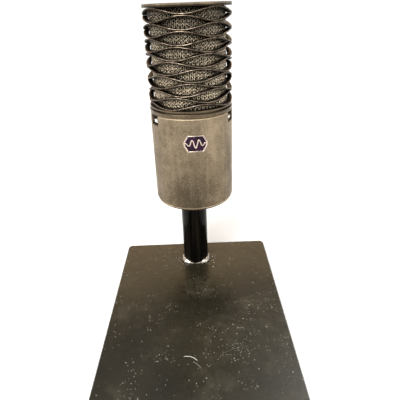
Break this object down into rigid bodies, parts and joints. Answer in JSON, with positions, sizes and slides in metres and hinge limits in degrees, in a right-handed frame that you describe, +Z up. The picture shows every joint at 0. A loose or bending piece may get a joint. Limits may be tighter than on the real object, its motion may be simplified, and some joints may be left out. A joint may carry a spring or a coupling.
{
  "type": "ribbon microphone",
  "caption": "Compact side-address ribbon microphone with a waved-ring head guard over a knitted wire screen, on a steel tube stand.",
  "frame": {"origin": "on the floor below the centre of the bounding box", "axes": "+Z up, -Y towards the front with the badge, +X to the right seen from the front"},
  "size_m": [0.103, 0.1785, 0.1803],
  "materials": {
    "plate_paint": "semi-gloss black paint over rolled steel, dusty and scratched",
    "rubber": "matte black rubber",
    "tube_paint": "gloss black paint",
    "weld_metal": "bare weld bead with spatter",
    "stud_steel": "zinc plated thread",
    "base_steel": "tumbled bare steel",
    "screw_steel": "plated fasteners",
    "socket_brass": "machined brass",
    "connector_metal": "satin nickel plate",
    "connector_plastic": "moulded black plastic",
    "contact_metal": "gold plated contact",
    "body_steel": "tumbled bare steel with fine mottling and small scratches",
    "badge_chrome": "polished plating",
    "badge_enamel": "dark purple enamel",
    "lever_plastic": "white moulded plastic",
    "chassis_metal": "machined aluminium",
    "board_laminate": "green solder mask",
    "component_plastic": "component sleeves",
    "core_iron": "soft iron",
    "coil_tape": "yellow winding tape",
    "wire_insulation": "coloured insulation",
    "collar_steel": "bare steel, polished edges",
    "ring_steel": "tumbled steel strip, dark faces and worn bright edges",
    "screen_wire": "knitted steel wire",
    "cap_steel": "tumbled bare steel",
    "magnet_metal": "nickel plated magnet",
    "terminal_plastic": "moulded insulator",
    "ribbon_foil": "thin folded foil",
    "clamp_brass": "machined brass"
  },
  "bodies": {
    "stand": {"base_plate": "plate_paint", "rubber_feet": "rubber", "stand_tube": "tube_paint", "threaded_stud": "stud_steel", "weld_bead": "weld_metal"},
    "microphone": {"rubber_isolators": "rubber", "lead_grommet": "rubber", "base_cap": "base_steel", "base_cap_screws": "screw_steel", "board_screws": "screw_steel", "deck_screws": "screw_steel", "clamp_screws": "screw_steel", "tie_rods": "screw_steel", "tie_rod_nuts": "screw_steel", "thread_socket": "socket_brass", "xlr_shell": "connector_metal", "xlr_insulator": "connector_plastic", "low_cut_switch_housing": "connector_plastic", "pad_switch_housing": "connector_plastic", "xlr_pins": "contact_metal", "body_shell": "body_steel", "badge_frame": "badge_chrome", "badge_enamel": "badge_enamel", "left_chassis_rail": "chassis_metal", "right_chassis_rail": "chassis_metal", "deck_plate": "chassis_metal", "circuit_board": "board_laminate", "board_components": "component_plastic", "transformer_core": "core_iron", "motor_yoke": "core_iron", "transformer_coil": "coil_tape", "output_wires": "wire_insulation", "ribbon_leads": "wire_insulation", "head_collar": "collar_steel", "spacer_ring": "collar_steel", "seat_ring": "collar_steel", "wave_ring_01": "ring_steel", "wave_ring_02": "ring_steel", "wave_ring_03": "ring_steel", "wave_ring_04": "ring_steel", "wave_ring_05": "ring_steel", "wave_ring_06": "ring_steel", "wave_ring_07": "ring_steel", "wave_ring_08": "ring_steel", "wave_ring_09": "ring_steel", "wave_ring_10": "ring_steel", "wave_ring_11": "ring_steel", "wave_ring_12": "ring_steel", "wave_ring_13": "ring_steel", "wave_ring_14": "ring_steel", "mesh_screen": "screen_wire", "top_cap": "cap_steel", "left_magnet": "magnet_metal", "right_magnet": "magnet_metal", "lower_terminal_block": "terminal_plastic", "upper_terminal_block": "terminal_plastic", "ribbon": "ribbon_foil", "ribbon_clamps": "clamp_brass"},
    "low_cut_lever": {"low_cut_lever": "lever_plastic"},
    "pad_lever": {"pad_lever": "lever_plastic"}
  },
  "joints": [
    {"name": "mic_swivel", "type": "hinge", "parent": "stand", "child": "microphone", "pos_m": [0, 0.05025, 0.05525], "axis": [0, 0, 1], "range_deg": [0, 180]},
    {"name": "low_cut_slide", "type": "slide", "parent": "microphone", "child": "low_cut_lever", "axis": [0, 0, 1], "range_m": [0, 0.002]},
    {"name": "pad_slide", "type": "slide", "parent": "microphone", "child": "pad_lever", "axis": [0, 0, 1], "range_m": [0, 0.002]}
  ]
}
